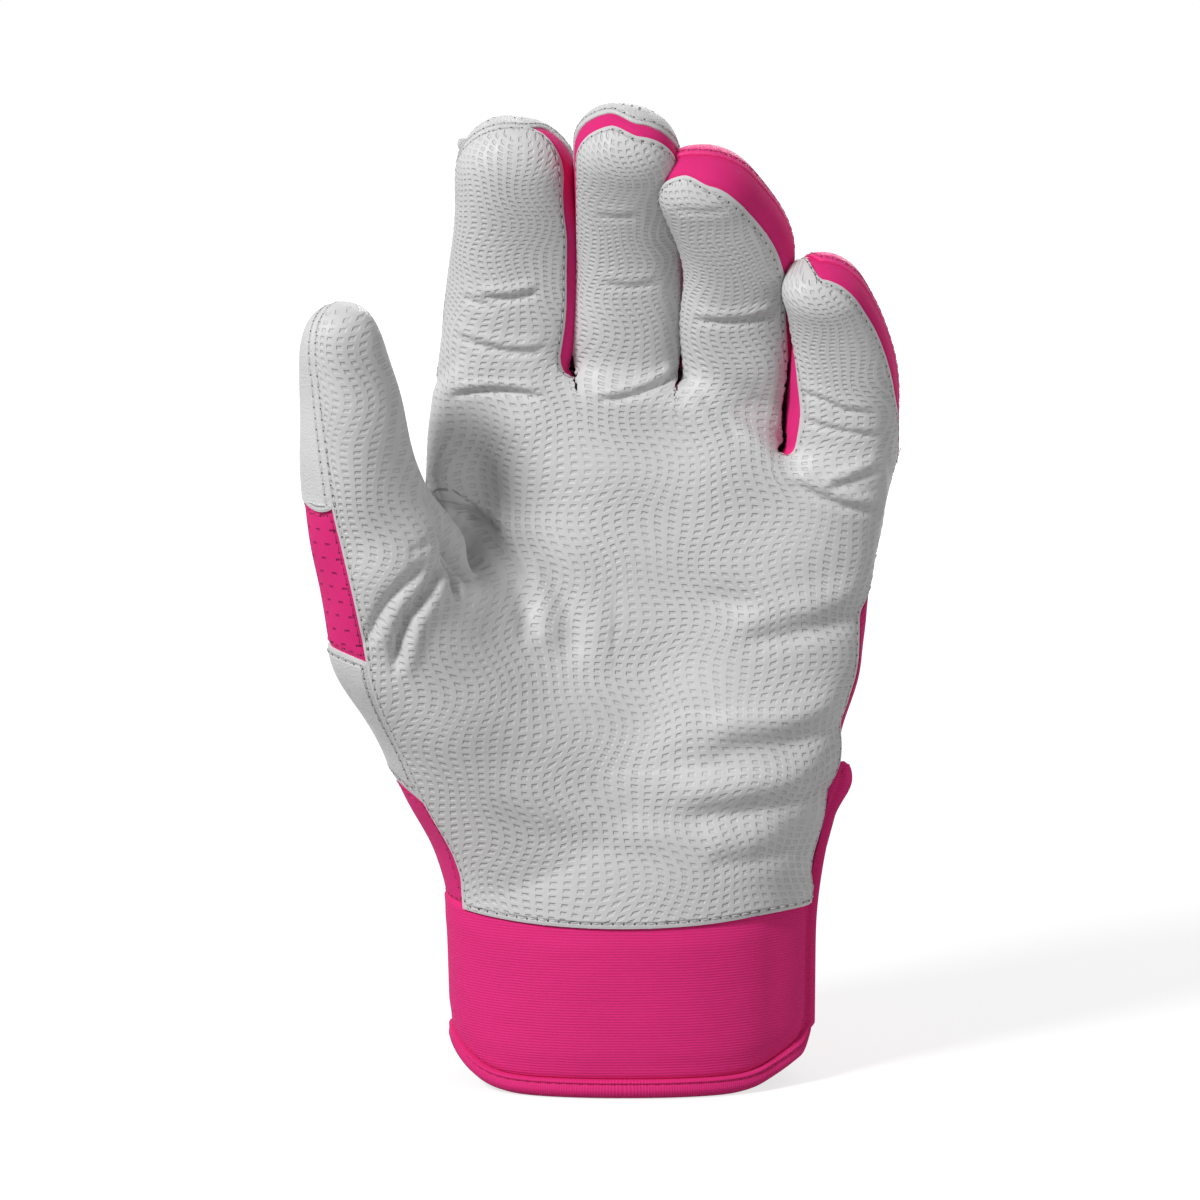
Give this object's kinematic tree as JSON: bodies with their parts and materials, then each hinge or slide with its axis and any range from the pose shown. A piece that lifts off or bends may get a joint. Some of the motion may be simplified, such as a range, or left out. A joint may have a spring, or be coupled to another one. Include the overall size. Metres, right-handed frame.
{
  "type": "batting glove",
  "caption": "Left-hand batting glove with an embossed leather palm, knit fourchettes, a neoprene cuff and a closure strap, standing on its cuff.",
  "frame": {"origin": "under the middle of the glove, on the surface that its cuff stands on", "axes": "+Z from the cuff to the fingertips, +Y from the palm to the back of the hand, +X towards the little finger"},
  "size_m": [0.122, 0.0716, 0.2045],
  "materials": {
    "palm_leather": "soft matt white goatskin, embossed with small pits in wavy rows",
    "smooth_leather": "smooth matt white synthetic leather",
    "perforated_leather": "white synthetic leather with rows of small holes",
    "pink_leather": "smooth pink synthetic leather",
    "stretch_knit": "pink two-way stretch knit",
    "mesh_knit": "pink knit with rows of small openings",
    "neoprene": "pink neoprene with a fine ribbed jersey face",
    "binding_tape": "pink folded stretch tape",
    "hook_and_loop": "white hook and loop pile"
  },
  "bodies": {
    "hand": {"palm_panel": "palm_leather", "thumb_base_panel": "smooth_leather", "knuckle_panel": "smooth_leather", "back_panel": "stretch_knit", "thumb_side_stretch": "stretch_knit", "thumb_mesh_insert": "mesh_knit", "index_middle_gusset": "stretch_knit", "middle_ring_gusset": "stretch_knit", "ring_little_gusset": "stretch_knit", "cuff_palm": "neoprene", "cuff_back": "neoprene", "rim_binding_palm": "binding_tape", "rim_binding_back": "binding_tape", "slit_binding_palm": "binding_tape", "slit_binding_back": "binding_tape", "loop_patch": "hook_and_loop"},
    "index": {"index_front": "palm_leather", "index_fourchette": "stretch_knit", "index_back": "perforated_leather"},
    "middle": {"middle_front": "palm_leather", "middle_fourchette": "stretch_knit", "middle_back": "perforated_leather"},
    "ring": {"ring_front": "palm_leather", "ring_fourchette": "stretch_knit", "ring_back": "pink_leather"},
    "little": {"little_front": "palm_leather", "little_fourchette": "stretch_knit", "little_back": "pink_leather"},
    "thumb": {"thumb_front": "palm_leather", "thumb_back": "smooth_leather"},
    "strap": {"closure_strap": "neoprene", "strap_binding_lower": "binding_tape", "strap_binding_upper": "binding_tape", "hook_patch": "hook_and_loop", "strap_pull_tab": "smooth_leather"}
  },
  "joints": [
    {"name": "index_flex", "type": "hinge", "parent": "hand", "child": "index", "pos_m": [-0.01996, -0.00441, 0.1454], "axis": [1, 0, 0], "range_deg": [0, 60]},
    {"name": "middle_flex", "type": "hinge", "parent": "hand", "child": "middle", "pos_m": [0.00544, -0.00341, 0.1441], "axis": [1, 0, 0], "range_deg": [0, 60]},
    {"name": "ring_flex", "type": "hinge", "parent": "hand", "child": "ring", "pos_m": [0.02814, -0.00421, 0.142], "axis": [1, 0, 0], "range_deg": [0, 60]},
    {"name": "little_flex", "type": "hinge", "parent": "hand", "child": "little", "pos_m": [0.05024, -0.00521, 0.128], "axis": [1, 0, 0], "range_deg": [0, 60]},
    {"name": "thumb_flex", "type": "hinge", "parent": "hand", "child": "thumb", "pos_m": [-0.04576, -0.03121, 0.121], "axis": [0.9781, 0.208, 0], "range_deg": [0, 30]},
    {"name": "strap_swing", "type": "hinge", "parent": "hand", "child": "strap", "pos_m": [0.04294, 0.00189, 0.008], "axis": [-0.11, 0, -0.9939], "range_deg": [0, 120]}
  ]
}
